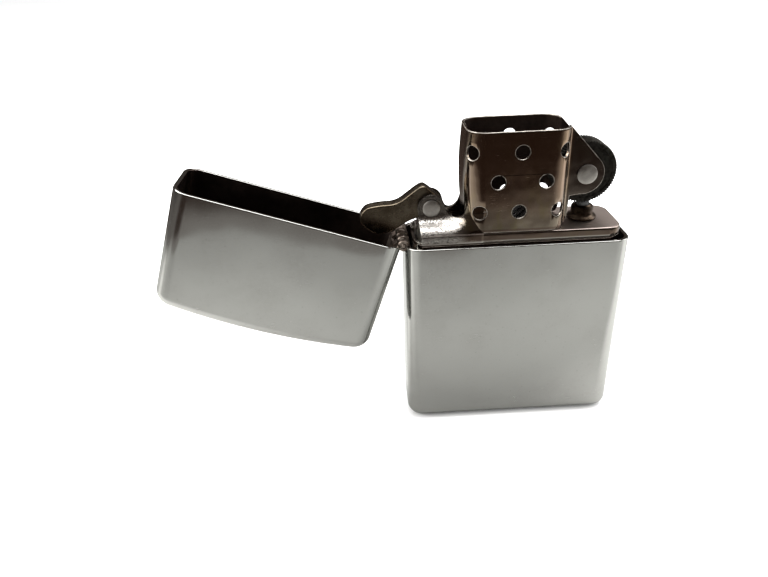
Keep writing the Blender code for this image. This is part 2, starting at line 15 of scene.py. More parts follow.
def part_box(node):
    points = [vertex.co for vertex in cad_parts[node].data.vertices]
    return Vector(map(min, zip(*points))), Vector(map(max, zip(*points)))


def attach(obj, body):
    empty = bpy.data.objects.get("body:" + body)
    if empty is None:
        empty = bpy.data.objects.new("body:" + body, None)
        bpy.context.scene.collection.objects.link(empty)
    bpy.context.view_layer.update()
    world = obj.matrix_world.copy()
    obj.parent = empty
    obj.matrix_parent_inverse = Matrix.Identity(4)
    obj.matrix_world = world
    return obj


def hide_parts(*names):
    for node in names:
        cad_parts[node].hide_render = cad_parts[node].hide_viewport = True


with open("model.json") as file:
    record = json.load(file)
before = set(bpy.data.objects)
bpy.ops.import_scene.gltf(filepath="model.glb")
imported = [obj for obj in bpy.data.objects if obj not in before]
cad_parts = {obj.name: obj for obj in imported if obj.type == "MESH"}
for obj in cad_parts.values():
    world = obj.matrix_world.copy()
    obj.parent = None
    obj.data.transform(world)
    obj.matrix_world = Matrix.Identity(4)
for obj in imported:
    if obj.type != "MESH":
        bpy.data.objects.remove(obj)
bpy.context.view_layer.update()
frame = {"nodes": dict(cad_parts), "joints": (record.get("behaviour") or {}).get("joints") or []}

MM = 0.001


def span(node):
    """Lowest and highest corner of a frame node, in millimetres."""
    low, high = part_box(node)
    return low / MM, high / MM


def pivot(joint):
    """Point on a joint's axis, in millimetres."""
    found = next(item for item in frame["joints"] if item["name"] == joint)
    return Vector(found["pos_m"]) / MM


# Driving sizes, read from the frame.
CASE_HIGH = span("case_bottom")[1]
CASE_HALF_X = CASE_HIGH.x
CASE_HALF_Y = CASE_HIGH.y
CASE_HEIGHT = CASE_HIGH.z
TANK_LOW, TANK_HIGH = span("insert_tank")
DECK_LOW = span("insert_deck")[0]
CHIMNEY_LOW, CHIMNEY_HIGH = span("chimney")
TUBE_LOW, TUBE_HIGH = span("flint_tube")
WICK_LOW, WICK_HIGH = span("wick")
FELT_LOW, FELT_HIGH = span("felt_pad")
SPRING_LOW, SPRING_HIGH = span("flint_spring")
HINGE = pivot("lid_hinge")
CAM = pivot("cam_pivot")
WHEEL = pivot("wheel_spin")
TUBE_X = (TUBE_LOW.x + TUBE_HIGH.x) / 2.0

WALL = 0.7
CORNER = 2.8
CASE_EDGE = 2.0
LID_RIM = 0.1
LID_HEIGHT = 21.2
LID_EDGE = 2.3
LID_RISE = 1.5
LID_OPEN = math.radians(161.0)
BARREL_HALF = 4.5
BARREL_R = 1.0
SHEET = 0.45
DECK_TOP = 37.3
SCREEN_CORNER = 3.1
SCREEN_BEND = 3.0
SCREEN_LEFT = -5.8
SCREEN_RIGHT = 4.85
SCREEN_BOW = 0.38
CHEEK_Y = 2.8
EAR_Y = 2.0
CAM_HALF = 1.3
SCREW_HOLE_R = 2.3
VENT_R = 1.15
VENTS = [(-8.1, 50.85), (-0.3, 50.85), (6.8, 50.75), (-3.9, 46.05), (3.85, 45.95),
         (-6.75, 40.95), (-0.3, 40.95), (6.2, 40.95)]


# ---------------------------------------------------------------- mesh tools

def arc(centre, radius, start, end, steps):
    """Points of a circle from the start angle to the end angle, in degrees."""
    angles = [math.radians(start + (end - start) * k / steps) for k in range(steps + 1)]
    return [(centre[0] + radius * math.cos(a), centre[1] + radius * math.sin(a)) for a in angles]


def block(low, high):
    bm = bmesh.new()
    bmesh.ops.create_cube(bm, size=1.0)
    low, high = Vector(low), Vector(high)
    bmesh.ops.scale(bm, vec=high - low, verts=bm.verts)
    bmesh.ops.translate(bm, vec=(low + high) / 2.0, verts=bm.verts)
    return bm


def round_edges(bm, edges, radius, segments):
    bmesh.ops.bevel(bm, geom=list(edges), offset=radius, offset_type="OFFSET", affect="EDGES",
                    segments=segments, profile=0.5, material=-1, clamp_overlap=True)


def upright_edges(bm, test=lambda middle: True):
    found = []
    for edge in bm.edges:
        a, b = (vert.co for vert in edge.verts)
        if (a - b).xy.length < 0.001 and test((a + b) / 2.0):
            found.append(edge)
    return found


def level_edges(bm, z):
    return [edge for edge in bm.edges if all(abs(vert.co.z - z) < 0.001 for vert in edge.verts)]


def sharp_edges(bm, degrees=40.0):
    limit = math.radians(degrees)
    return [edge for edge in bm.edges if len(edge.link_faces) == 2 and edge.calc_face_angle() > limit]


def drop_faces(bm, test):
    faces = [face for face in bm.faces if test(face)]
    bmesh.ops.delete(bm, geom=faces, context="FACES")


def slice_along(bm, axis, places):
    """Cut loops of edges across a mesh at places along one axis, so that the surface can bend there."""
    for place in places:
        origin = Vector((0.0, 0.0, 0.0))
        normal = Vector((0.0, 0.0, 0.0))
        origin[axis] = place
        normal[axis] = 1.0
        bmesh.ops.bisect_plane(bm, geom=bm.verts[:] + bm.edges[:] + bm.faces[:], plane_co=origin,
                               plane_no=normal, dist=0.0001)


def slab(outline, low, high, plane="xz"):
    """An outline in the xz or yz plane, extruded from low to high along the third axis."""
    bm = bmesh.new()
    if plane == "xz":
        corners = [bm.verts.new((a, low, b)) for a, b in outline]
        step = Vector((0.0, high - low, 0.0))
    else:
        corners = [bm.verts.new((low, a, b)) for a, b in outline]
        step = Vector((high - low, 0.0, 0.0))
    face = bm.faces.new(corners)
    grown = bmesh.ops.extrude_face_region(bm, geom=[face])
    moved = [item for item in grown["geom"] if isinstance(item, bmesh.types.BMVert)]
    bmesh.ops.translate(bm, vec=step, verts=moved)
    bmesh.ops.recalc_face_normals(bm, faces=bm.faces)
    return bm


def quarter_turn(axis, way):
    return Matrix.Rotation(math.radians(90.0 * way), 3, axis)


def turned(profile, steps=48, axis="z", at=(0.0, 0.0, 0.0)):
    """Spin (radius, height) points about an axis; a profile that starts off the axis closes on itself."""
    bm = bmesh.new()
    points = [bm.verts.new((radius, 0.0, height)) for radius, height in profile]
    edges = [bm.edges.new(pair) for pair in zip(points, points[1:])]
    if profile[0][0] > 0.0:
        edges.append(bm.edges.new((points[-1], points[0])))
    bmesh.ops.spin(bm, geom=points + edges, cent=(0, 0, 0), axis=(0, 0, 1), angle=math.tau, steps=steps,
                   use_merge=True)
    bmesh.ops.remove_doubles(bm, verts=bm.verts, dist=0.0005)
    if axis == "y":
        bmesh.ops.rotate(bm, verts=bm.verts, cent=(0, 0, 0), matrix=quarter_turn("X", -1.0))
    if axis == "x":
        bmesh.ops.rotate(bm, verts=bm.verts, cent=(0, 0, 0), matrix=quarter_turn("Y", 1.0))
    bmesh.ops.translate(bm, verts=bm.verts, vec=at)
    bmesh.ops.recalc_face_normals(bm, faces=bm.faces)
    return bm


def rod(radius, low, high, axis="z", at=(0.0, 0.0, 0.0), steps=32):
    return turned([(0.0, low), (radius, low), (radius, high), (0.0, high)], steps, axis, at)


def skin(sections):
    """A sheet stretched over open sections, each bridged to the one before it."""
    bm = bmesh.new()
    before = []
    for section in sections:
        points = [bm.verts.new(point) for point in section]
        edges = [bm.edges.new(pair) for pair in zip(points, points[1:])]
        if before:
            bmesh.ops.bridge_loops(bm, edges=before + edges)
        before = edges
    bmesh.ops.recalc_face_normals(bm, faces=bm.faces)
    return bm


def ease(value):
    """Smooth step from 0 to 1."""
    value = max(0.0, min(1.0, value))
    return value * value * (3.0 - 2.0 * value)


def loose(bm, name="work"):
    mesh = bpy.data.meshes.new(name)
    bm.to_mesh(mesh)
    bm.free()
    item = bpy.data.objects.new(name, mesh)
    bpy.context.scene.collection.objects.link(item)
    return item


def scrap(*items):
    for item in items:
        mesh = item.data
        bpy.data.objects.remove(item, do_unlink=True)
        bpy.data.meshes.remove(mesh)


def evaluated(item):
    bm = bmesh.new()
    bm.from_object(item, bpy.context.evaluated_depsgraph_get())
    return bm


def carve(bm, *cutters, operation="DIFFERENCE"):
    """The mesh after exact Booleans with the cutters, which are used up with it."""
    body = loose(bm)
    tools = [loose(cutter, "cutter") for cutter in cutters]
    for tool in tools:
        modifier = body.modifiers.new("cut", "BOOLEAN")
        modifier.operation = operation
        modifier.object = tool
        modifier.solver = "EXACT"
    result = evaluated(body)
    scrap(body, *tools)
    return result


def face_outward(bm, centre):
    """Turn a sheet's faces so that most of them look away from a point."""
    bmesh.ops.recalc_face_normals(bm, faces=bm.faces)
    centre = Vector(centre)
    looks = sum(face.normal.dot(face.calc_center_median() - centre) * face.calc_area() for face in bm.faces)
    if looks < 0.0:
        bmesh.ops.reverse_faces(bm, faces=bm.faces)


def thicken(bm, wall, centre):
    """Give an open sheet its wall, towards the centre that its faces look away from."""
    face_outward(bm, centre)
    item = loose(bm)
    modifier = item.modifiers.new("wall", "SOLIDIFY")
    modifier.thickness = wall
    modifier.offset = -1.0
    modifier.use_even_offset = True
    modifier.use_quality_normals = True
    result = evaluated(item)
    scrap(item)
    return result


def merged(*parts):
    """Several solids in one mesh."""
    whole = bmesh.new()
    for part in parts:
        mesh = bpy.data.meshes.new("part")
        part.to_mesh(mesh)
        part.free()
        whole.from_mesh(mesh)
        bpy.data.meshes.remove(mesh)
    return whole


def blunt(bm, width, segments=2, degrees=40.0, wear_and_highlight=None, clamp=True):
    """Take the sharpness off every sheet edge; the bevel faces may take a material slot of their own, an edge
    bared by handling that also carries a painted highlight line.

    Without the clamp, level faces are split first, so that none of them spans an opening afterwards.
    """
    bmesh.ops.dissolve_degenerate(bm, dist=0.002, edges=bm.edges[:])
    bmesh.ops.remove_doubles(bm, verts=bm.verts[:], dist=0.002)
    if not clamp:
        level = [face for face in bm.faces if len(face.verts) > 4 and abs(face.normal.z) > 0.9]
        bmesh.ops.triangulate(bm, faces=level, ngon_method="EAR_CLIP")
    made = bmesh.ops.bevel(bm, geom=sharp_edges(bm, degrees), offset=width, offset_type="OFFSET",
                           affect="EDGES", segments=segments, profile=0.5, material=-1,
                           clamp_overlap=clamp)
    if wear_and_highlight is not None:
        for face in made["faces"]:
            face.material_index = wear_and_highlight


def smooth_closed(points, steps=6):
    """A closed Catmull-Rom curve through the points."""
    out = []
    count = len(points)
    for k in range(count):
        a, b, c, d = (Vector(points[(k + j) % count]) for j in (-1, 0, 1, 2))
        for s in range(steps):
            t = s / steps
            spot = 0.5 * (2 * b + (c - a) * t + (2 * a - 5 * b + 4 * c - d) * t ** 2
                          + (3 * b - a - 3 * c + d) * t ** 3)
            out.append(tuple(spot))
    return out


def smooth_open(points, steps=5):
    """An open Catmull-Rom curve through the points, ends included."""
    ends = [points[0]] + list(points) + [points[-1]]
    out = []
    for k in range(1, len(ends) - 2):
        a, b, c, d = (Vector(ends[k + j]) for j in (-1, 0, 1, 2))
        for s in range(steps):
            t = s / steps
            spot = 0.5 * (2 * b + (c - a) * t + (2 * a - 5 * b + 4 * c - d) * t ** 2
                          + (3 * b - a - 3 * c + d) * t ** 3)
            out.append(tuple(spot))
    return out + [tuple(points[-1])]


def piece(name, bm, body, nodes, materials, crease=35.0, true_normals=True):
    """Scale a finished mesh to metres and hand it to the frame in place of the named nodes."""
    bmesh.ops.scale(bm, vec=(MM, MM, MM), verts=bm.verts)
    mesh = bpy.data.meshes.new(name)
    bm.to_mesh(mesh)
    bm.free()
    for material in materials:
        mesh.materials.append(material)
    mesh.shade_smooth()
    mesh.set_sharp_from_angle(angle=math.radians(crease))
    item = bpy.data.objects.new(name, mesh)
    bpy.context.scene.collection.objects.link(item)
    if true_normals:
        modifier = item.modifiers.new("true_normals", "WEIGHTED_NORMAL")
        modifier.keep_sharp = True
    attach(item, body)
    if nodes:
        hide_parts(*nodes)
    return item


# ---------------------------------------------------------------- camera, floor and lights

def make_camera():
    camera = bpy.data.cameras.new("camera")
    camera.sensor_width = 36.0
    camera.lens = 30.65
    camera.clip_start = 0.005
    camera.clip_end = 20.0
    item = bpy.data.objects.new("camera", camera)
    item.location = (-0.02551, -0.10405, 0.08180)
    item.rotation_euler = (math.radians(61.414), math.radians(1.969), math.radians(-2.608))
    bpy.context.scene.collection.objects.link(item)
    bpy.context.scene.camera = item


def area_light(name, at, aim, size, watts, colour=(1.0, 1.0, 1.0)):
    light = bpy.data.lights.new(name, "AREA")
    light.shape = "RECTANGLE"
    light.size, light.size_y = size
    light.energy = watts
    light.color = colour
    item = bpy.data.objects.new(name, light)
    item.location = at
    item.rotation_euler = (Vector(aim) - Vector(at)).to_track_quat("-Z", "Y").to_euler()
    bpy.context.scene.collection.objects.link(item)


def make_stage():
    bm = bmesh.new()
    bmesh.ops.create_grid(bm, x_segments=1, y_segments=1, size=6.0)
    mesh = bpy.data.meshes.new("floor")
    bm.to_mesh(mesh)
    bm.free()
    floor = bpy.data.objects.new("floor", mesh)
    floor.location.z = -0.0002
    bpy.context.scene.collection.objects.link(floor)
    mesh.materials.append(floor_material())
    area_light("top_softbox", (0.0, 0.15, 0.6), (0.0, 0.0, 0.0), (0.7, 0.5), 9.0)
    area_light("left_softbox", (-0.5, -0.1, 0.35), (0.0, 0.0, 0.02), (0.4, 0.4), 3.0, (1.0, 0.98, 0.95))
    area_light("right_softbox", (0.5, 0.05, 0.3), (0.0, 0.0, 0.02), (0.35, 0.4), 2.0)
    make_world()
    bpy.context.scene.view_settings.view_transform = "Standard"


def make_world():
    world = bpy.data.worlds.new("studio")
    world.use_nodes = True
    bpy.context.scene.world = world
    tree = world.node_tree
    background = tree.nodes["Background"]
    seen = tree.nodes.new("ShaderNodeLightPath")
    mix = tree.nodes.new("ShaderNodeMix")
    mix.data_type = "RGBA"
    mix.inputs["A"].default_value = (1.0, 1.0, 1.0, 1.0)
    mix.inputs["B"].default_value = (0.085, 0.070, 0.060, 1.0)
    tree.links.new(seen.outputs["Is Glossy Ray"], mix.inputs["Factor"])
    tree.links.new(mix.outputs["Result"], background.inputs["Color"])
    background.inputs["Strength"].default_value = 1.0


# ---------------------------------------------------------------- material tools

def new_material(name):
    material = bpy.data.materials.new(name)
    material.use_nodes = True
    return material, material.node_tree, material.node_tree.nodes["Principled BSDF"]


def put(tree, kind, **sockets):
    """A node with settings or inputs set by name; spaces in a name are written as underscores."""
    node = tree.nodes.new(kind)
    for name, value in sockets.items():
        if hasattr(node, name):
            setattr(node, name, value)
        else:
            node.inputs[name.replace("_", " ")].default_value = value
    return node


def wire(tree, source, target):
    tree.links.new(source, target)


def maths(tree, operation, a, b=0.0, clamp=False):
    node = tree.nodes.new("ShaderNodeMath")
    node.operation = operation
    node.use_clamp = clamp
    for socket, value in zip(node.inputs, (a, b)):
        if isinstance(value, (int, float)):
            socket.default_value = value
        else:
            wire(tree, value, socket)
    return node.outputs[0]


def between(tree, value, low, high, out_low=0.0, out_high=1.0):
    """Map a value smoothly from one range to another, clamped at both ends."""
    node = tree.nodes.new("ShaderNodeMapRange")
    node.interpolation_type = "SMOOTHSTEP"
    wire(tree, value, node.inputs["Value"])
    for name, number in (("From Min", low), ("From Max", high), ("To Min", out_low), ("To Max", out_high)):
        node.inputs[name].default_value = number
    return node.outputs["Result"]


def blend_colours(tree, factor, a, b):
    node = tree.nodes.new("ShaderNodeMix")
    node.data_type = "RGBA"
    for socket, value in ((node.inputs["Factor"], factor), (node.inputs["A"], a), (node.inputs["B"], b)):
        if isinstance(value, bpy.types.NodeSocket):
            wire(tree, value, socket)
        elif isinstance(value, tuple):
            socket.default_value = (*value, 1.0)
        else:
            socket.default_value = value
    return node.outputs["Result"]


def millimetres(tree):
    """Object coordinates counted in millimetres."""
    where = tree.nodes.new("ShaderNodeTexCoord")
    scale = put(tree, "ShaderNodeVectorMath", operation="SCALE")
    scale.inputs["Scale"].default_value = 1.0 / MM
    wire(tree, where.outputs["Object"], scale.inputs[0])
    return scale.outputs["Vector"]


def noise(tree, vector, scale, detail=3.0, roughness=0.55, stretch=None, turn=None):
    """Noise in millimetre units, optionally stretched and turned."""
    if stretch or turn:
        mapping = tree.nodes.new("ShaderNodeMapping")
        mapping.inputs["Scale"].default_value = stretch or (1.0, 1.0, 1.0)
        mapping.inputs["Rotation"].default_value = turn or (0.0, 0.0, 0.0)
        wire(tree, vector, mapping.inputs["Vector"])
        vector = mapping.outputs["Vector"]
    node = put(tree, "ShaderNodeTexNoise", Scale=scale, Detail=detail, Roughness=roughness)
    wire(tree, vector, node.inputs["Vector"])
    return node.outputs["Fac"]


def start_group(name, inputs, outputs):
    tree = bpy.data.node_groups.new(name, "ShaderNodeTree")
    for label, value in inputs:
        socket = tree.interface.new_socket(name=label, in_out="INPUT", socket_type="NodeSocketFloat")
        socket.default_value = value
    for label in outputs:
        tree.interface.new_socket(name=label, in_out="OUTPUT", socket_type="NodeSocketFloat")
    return tree, tree.nodes.new("NodeGroupInput"), tree.nodes.new("NodeGroupOutput")


def make_scratches():
    """Hairline scratches in three directions, broken up so that none runs far."""
    tree, given, result = start_group("hairline_scratches", [("Amount", 0.5)], ["Mask"])
    place = millimetres(tree)
    total = None
    for turn, length in ((0.3, 0.10), (1.25, 0.14), (2.4, 0.12)):
        line = noise(tree, place, 3.2, 2.0, 0.6, stretch=(length, 6.0, 6.0), turn=(0.0, turn, turn * 0.4))
        thin = between(tree, line, 0.66, 0.72)
        patch = between(tree, noise(tree, place, 0.35, 2.0, turn=(turn, 0.0, 0.0)), 0.48, 0.62)
        streak = maths(tree, "MULTIPLY", thin, patch)
        total = streak if total is None else maths(tree, "MAXIMUM", total, streak)
    wire(tree, maths(tree, "MULTIPLY", total, given.outputs["Amount"]), result.inputs["Mask"])
    return tree


def make_smudges():
    """Soft finger marks: broad cloudy patches with a finer mottle inside."""
    tree, given, result = start_group("finger_smudges", [("Amount", 0.5)], ["Mask"])
    place = millimetres(tree)
    broad = between(tree, noise(tree, place, 0.11, 4.0, 0.6), 0.42, 0.68)
    fine = between(tree, noise(tree, place, 1.4, 5.0, 0.7), 0.35, 0.75)
    both = maths(tree, "MULTIPLY", broad, maths(tree, "ADD", maths(tree, "MULTIPLY", fine, 0.6), 0.4))
    wire(tree, maths(tree, "MULTIPLY", both, given.outputs["Amount"]), result.inputs["Mask"])
    return tree


def make_specks():
    """Small pits and dust: scattered round dots of uneven size."""
    tree, given, result = start_group("pits_and_specks", [("Scale", 2.0), ("Amount", 0.5)], ["Mask"])
    place = millimetres(tree)
    cells = put(tree, "ShaderNodeTexVoronoi", feature="F1", Randomness=1.0)
    wire(tree, place, cells.inputs["Vector"])
    wire(tree, given.outputs["Scale"], cells.inputs["Scale"])
    dot = between(tree, cells.outputs["Distance"], 0.05, 0.26, 1.0, 0.0)
    chosen = between(tree, noise(tree, place, 1.1, 3.0), 0.45, 0.65)
    mask = maths(tree, "MULTIPLY", maths(tree, "MULTIPLY", dot, chosen), given.outputs["Amount"])
    wire(tree, mask, result.inputs["Mask"])
    return tree


def use_group(tree, group, **amounts):
    node = tree.nodes.new("ShaderNodeGroup")
    node.node_tree = group
    for name, value in amounts.items():
        node.inputs[name].default_value = value
    return node.outputs["Mask"]


def bump(tree, shader, height, depth_mm, strength=1.0):
    node = put(tree, "ShaderNodeBump", Strength=strength, Distance=depth_mm * MM)
    wire(tree, height, node.inputs["Height"])
    wire(tree, node.outputs["Normal"], shader.inputs["Normal"])


def floor_material():
    """Plain white sheet; polished metal sees it as a lit sheet on a darker bench, wider than it is deep, with
    painted light on it: a painted pool of light by the lighter, painted fading further off and a painted
    shadow patch across the middle.
    """
    material, tree, shader = new_material("pale_floor")
    place = millimetres(tree)
    parts = put(tree, "ShaderNodeSeparateXYZ")
    wire(tree, place, parts.inputs[0])
    waver = maths(tree, "MULTIPLY", maths(tree, "SUBTRACT", noise(tree, place, 0.02, 2.0), 0.5), 12.0)
    # Painted shadow: a patch across the middle of the sheet, added to the depth so that reflections see it
    # darker.
    cut = maths(tree, "MULTIPLY", between(tree, parts.outputs["X"], -62.0, -15.0),
                between(tree, parts.outputs["X"], -10.0, 45.0, 1.0, 0.0))
    waver = maths(tree, "ADD", waver, maths(tree, "MULTIPLY", cut, 24.0))
    depth = maths(tree, "ADD", maths(tree, "ABSOLUTE", parts.outputs["Y"]), waver)
    width = maths(tree, "ABSOLUTE", parts.outputs["X"])
    # Painted light for reflections only: a bright pool by the lighter that fades with depth.
    painted_dimming = between(tree, depth, 42.0, 100.0, 0.0, 0.55)
    beyond = between(tree, depth, 14.0, 40.0)
    painted_light_pool = blend_colours(tree, beyond, (0.56, 0.562, 0.545), (0.328, 0.330, 0.318))
    near = blend_colours(tree, painted_dimming, painted_light_pool, (0.10, 0.10, 0.095))
    past_edge = blend_colours(tree, between(tree, depth, 98.0, 103.0), near, (0.105, 0.098, 0.092))
    bench = blend_colours(tree, between(tree, depth, 112.0, 138.0), past_edge, (0.016, 0.009, 0.006))
    mirrored = blend_colours(tree, between(tree, width, 210.0, 330.0), bench, (0.06, 0.054, 0.05))
    # Only glossy rays see the painted pool, fading and shadow patch; the camera sees an even white sheet.
    seen = tree.nodes.new("ShaderNodeLightPath")
    wire(tree, blend_colours(tree, seen.outputs["Is Glossy Ray"], (0.92, 0.92, 0.92), mirrored),
         shader.inputs["Base Color"])
    shader.inputs["Roughness"].default_value = 0.9
    shader.inputs["Specular IOR Level"].default_value = 0.1
    return material


def polished_shell(scratches, smudges, specks):
    """Plated outside of the case and lid, handled for years."""
    material, tree, shader = new_material("polished_shell")
    marks = use_group(tree, scratches, Amount=0.8)
    prints = use_group(tree, smudges, Amount=0.6)
    pits = use_group(tree, specks, Scale=1.3, Amount=0.5)
    tone = blend_colours(tree, prints, (0.385, 0.385, 0.37), (0.335, 0.33, 0.315))
    tone = blend_colours(tree, maths(tree, "MULTIPLY", marks, 0.25), tone, (0.56, 0.56, 0.54))
    wire(tree, blend_colours(tree, maths(tree, "MULTIPLY", pits, 0.5), tone, (0.1, 0.09, 0.08)),
         shader.inputs["Base Color"])
    rough = maths(tree, "ADD", maths(tree, "MULTIPLY", prints, 0.12), 0.09)
    rough = maths(tree, "ADD", rough, maths(tree, "MULTIPLY", marks, 0.2))
    wire(tree, rough, shader.inputs["Roughness"])
    shader.inputs["Metallic"].default_value = 1.0
    place = millimetres(tree)
    wave = noise(tree, place, 0.09, 1.0)
    height = maths(tree, "SUBTRACT", wave, maths(tree, "MULTIPLY", marks, 0.01))
    bump(tree, shader, height, 0.22, 0.6)
    return material


def painted_shade_lining(smudges):
    """Dull inside of the case and lid, never polished, its near-black tone a painted shade for the hollow."""
    material, tree, shader = new_material("painted_shade_lining")
    cloud = noise(tree, millimetres(tree), 0.5, 5.0)
    # Painted shade: the inside is kept near black for the hollow of the cup.
    tone = blend_colours(tree, cloud, (0.055, 0.042, 0.036), (0.16, 0.125, 0.11))
    wire(tree, tone, shader.inputs["Base Color"])
    rough = maths(tree, "ADD", maths(tree, "MULTIPLY", use_group(tree, smudges, Amount=1.0), 0.2), 0.28)
    wire(tree, rough, shader.inputs["Roughness"])
    shader.inputs["Metallic"].default_value = 1.0
    return material


def insert_metal(scratches, smudges, specks):
    """Plated sheet of the insert: painted dark brown as the dark bench it reflects, painted light on the cam
    housing, browned near the flame with a painted warm reflection in that tint, speckled where the cam rides.
    """
    material, tree, shader = new_material("insert_metal")
    place = millimetres(tree)
    parts = put(tree, "ShaderNodeSeparateXYZ")
    wire(tree, place, parts.inputs[0])
    on_tank = between(tree, parts.outputs["Z"], 35.8, 36.2, 1.0, 0.0)
    by_cam = maths(tree, "MULTIPLY", between(tree, parts.outputs["X"], -11.5, -8.0, 1.0, 0.0),
                   between(tree, parts.outputs["Z"], 35.8, 36.2))
    on_ear = between(tree, parts.outputs["Z"], 39.2, 39.9)
    # Painted shade: a dark band from z 36 to 38, along the deck's side and the windscreen's foot.
    painted_shade_band = maths(tree, "MULTIPLY", between(tree, parts.outputs["Z"], 37.8, 38.1, 1.0, 0.0),
                  between(tree, parts.outputs["Z"], 35.8, 36.2))
    # Painted shade: the cheeks beyond x 8, above z 38, get a darker grey tone.
    by_cheek = maths(tree, "MULTIPLY", between(tree, parts.outputs["X"], 7.9, 8.6),
                     between(tree, parts.outputs["Z"], 37.8, 38.2))
    # Painted reflection: the deck's level top at z 37.3, and a thin line across upright faces there, made
    # lighter and rougher to stand in for the room it reflects.
    by_deck = maths(tree, "MULTIPLY", between(tree, parts.outputs["Z"], 37.1, 37.25),
                    between(tree, parts.outputs["Z"], 37.35, 37.5, 1.0, 0.0))
    marks = use_group(tree, scratches, Amount=1.0)
    prints = use_group(tree, smudges, Amount=1.0)
    pits = use_group(tree, specks, Scale=2.6, Amount=1.0)
    grain = between(tree, noise(tree, place, 4.2, 5.0, 0.75), 0.47, 0.58)
    # Tint from the flame over the windscreen above z 40, which also carries a painted warm reflection.
    drift = maths(tree, "MULTIPLY", noise(tree, place, 0.22, 3.0, 0.6), 9.0)
    tint_height = maths(tree, "ADD", parts.outputs["Z"], drift)
    heat_tint_and_warm_reflection = maths(tree, "MULTIPLY", between(tree, tint_height, 40.0, 54.0),
                 between(tree, parts.outputs["X"], -11.0, -7.0))
    # Yellow-green vertical streaks: tarnish patches, and a painted warm reflection.
    tarnish_and_warm_reflection = between(tree, noise(tree, place, 0.30, 3.0, 0.6, stretch=(1.6, 1.0, 0.5)), 0.50, 0.66)
    # Main tone: the plated sheet painted dark brown, darker than bare metal, standing in for the dark bench
    # it reflects; finger smudges darken it further.
    tone = blend_colours(tree, prints, (0.205, 0.175, 0.138), (0.135, 0.106, 0.082))
    # Tarnish streaks with painted warm reflection, then the flame's tint with its painted warmth.
    tone = blend_colours(tree, maths(tree, "MULTIPLY", tarnish_and_warm_reflection, 0.6), tone, (0.19, 0.170, 0.085))
    tone = blend_colours(tree, maths(tree, "MULTIPLY", heat_tint_and_warm_reflection, 0.75), tone, (0.27, 0.182, 0.130))
    # Painted shade darkens the band from z 36 to 38.
    tone = blend_colours(tree, maths(tree, "MULTIPLY", painted_shade_band, 0.8), tone, (0.10, 0.070, 0.056))
    # Painted light: the cam housing gets a much lighter tone, standing in for the white sheet and lamps it
    # reflects.
    tone = blend_colours(tree, by_cam, tone, (0.56, 0.535, 0.50))
    # Painted shade: the ear's flat above z 39.2 is put back dark, as the dark surroundings it reflects.
    tone = blend_colours(tree, maths(tree, "MULTIPLY", by_cam, on_ear), tone, (0.19, 0.172, 0.152))
    tone = blend_colours(tree, maths(tree, "MULTIPLY", on_tank, 0.85), tone, (0.52, 0.50, 0.47))
    # Painted shade on the cheeks beside the wheel.
    tone = blend_colours(tree, maths(tree, "MULTIPLY", by_cheek, 0.9), tone, (0.17, 0.150, 0.130))
    # Painted reflection of the room on the deck's top.
    tone = blend_colours(tree, maths(tree, "MULTIPLY", by_deck, 0.7), tone, (0.42, 0.36, 0.33))
    tone = blend_colours(tree, maths(tree, "MULTIPLY", marks, 0.25), tone, (0.52, 0.48, 0.42))
    tone = blend_colours(tree, maths(tree, "MULTIPLY", pits, 0.5), tone, (0.12, 0.08, 0.06))
    speckled = maths(tree, "MULTIPLY", grain, by_cam)
    wire(tree, blend_colours(tree, maths(tree, "MULTIPLY", speckled, 0.85), tone, (0.045, 0.038, 0.034)),
         shader.inputs["Base Color"])
    rough = maths(tree, "ADD", maths(tree, "MULTIPLY", prints, 0.10), 0.09)
    rough = maths(tree, "ADD", rough, maths(tree, "MULTIPLY", marks, 0.15))
    rough = maths(tree, "ADD", rough, maths(tree, "MULTIPLY", by_cam, 0.10))
    wire(tree, maths(tree, "ADD", rough, maths(tree, "MULTIPLY", by_deck, 0.30)), shader.inputs["Roughness"])
    shader.inputs["Metallic"].default_value = 1.0
    wave = noise(tree, place, 0.16, 2.0)
    height = maths(tree, "SUBTRACT", wave, maths(tree, "MULTIPLY", speckled, 0.12))
    bump(tree, shader, height, 0.2, 0.5)
    return material


def sooty_metal(smudges):
    """Inside of the windscreen, blackened by the flame."""
    material, tree, shader = new_material("soot")
    place = millimetres(tree)
    cloud = noise(tree, place, 0.9, 6.0, 0.7)
    tone = blend_colours(tree, cloud, (0.010, 0.006, 0.005), (0.055, 0.036, 0.028))
    wire(tree, tone, shader.inputs["Base Color"])
    rough = maths(tree, "ADD", maths(tree, "MULTIPLY", use_group(tree, smudges, Amount=1.0), 0.2), 0.42)
    wire(tree, rough, shader.inputs["Roughness"])
    shader.inputs["Metallic"].default_value = 0.8
    bump(tree, shader, noise(tree, place, 6.0, 5.0, 0.7), 0.012, 0.8)
    return material


def dull_metal(name, low, high, roughness, specks, scale=1.2, depth=0.01, metallic=1.0, pitted=0.5):
    """Satin or mottled metal: two tones by noise, a few pits, a fine uneven surface."""
    material, tree, shader = new_material(name)
    place = millimetres(tree)
    cloud = between(tree, noise(tree, place, scale, 6.0, 0.65), 0.3, 0.7)
    pits = use_group(tree, specks, Scale=3.0, Amount=0.8)
    tone = blend_colours(tree, cloud, low, high)
    in_pits = tuple(0.35 * share for share in low)
    wire(tree, blend_colours(tree, maths(tree, "MULTIPLY", pits, pitted), tone, in_pits),
         shader.inputs["Base Color"])
    wire(tree, maths(tree, "ADD", maths(tree, "MULTIPLY", cloud, 0.15), roughness - 0.07),
         shader.inputs["Roughness"])
    shader.inputs["Metallic"].default_value = metallic
    bump(tree, shader, noise(tree, place, 7.0, 5.0, 0.7), depth, 0.8)
    return material


